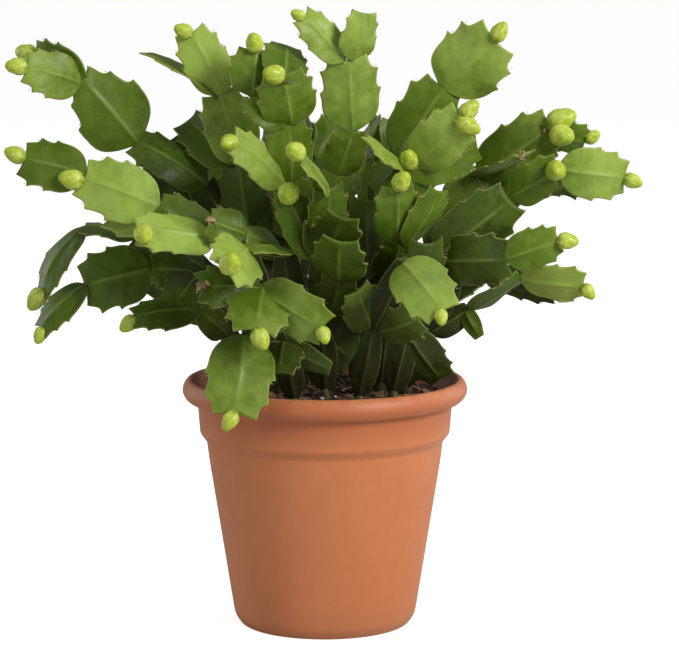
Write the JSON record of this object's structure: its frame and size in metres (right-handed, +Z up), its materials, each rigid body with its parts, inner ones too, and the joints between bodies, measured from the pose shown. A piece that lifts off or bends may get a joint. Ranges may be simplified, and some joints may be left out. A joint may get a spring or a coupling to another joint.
{
  "type": "potted christmas cactus",
  "caption": "Christmas cactus in bud: arching stems of flat, toothed, jointed segments, rooted in potting mix in a round tapered plastic nursery pot with a rolled rim.",
  "frame": {"origin": "centre of the pot's flat base, on its underside", "axes": "+Z up along the pot's axis; the front, as seen in the picture, looks along -Y; +X is to the right of it"},
  "size_m": [0.3318, 0.2686, 0.3285],
  "materials": {
    "pot_plastic": "satin",
    "potting_mix": "rough",
    "plant_green": "satin"
  },
  "bodies": {
    "root": {"pot": "pot_plastic", "potting_mix": "potting_mix", "stem_left_high": "plant_green", "stem_left_middle": "plant_green", "stem_left_low": "plant_green", "stem_top": "plant_green", "stem_centre": "plant_green", "stem_centre_right": "plant_green", "stem_front_left": "plant_green", "stem_front_right": "plant_green", "stem_right_high": "plant_green", "stem_right_middle": "plant_green", "stem_right_front": "plant_green", "stem_rear_1": "plant_green", "stem_rear_2": "plant_green", "stem_rear_3": "plant_green", "stem_rear_4": "plant_green", "stem_rear_5": "plant_green", "stem_rear_low_1": "plant_green", "stem_rear_low_2": "plant_green", "stem_rear_low_3": "plant_green", "stem_rear_low_4": "plant_green"}
  },
  "joints": []
}
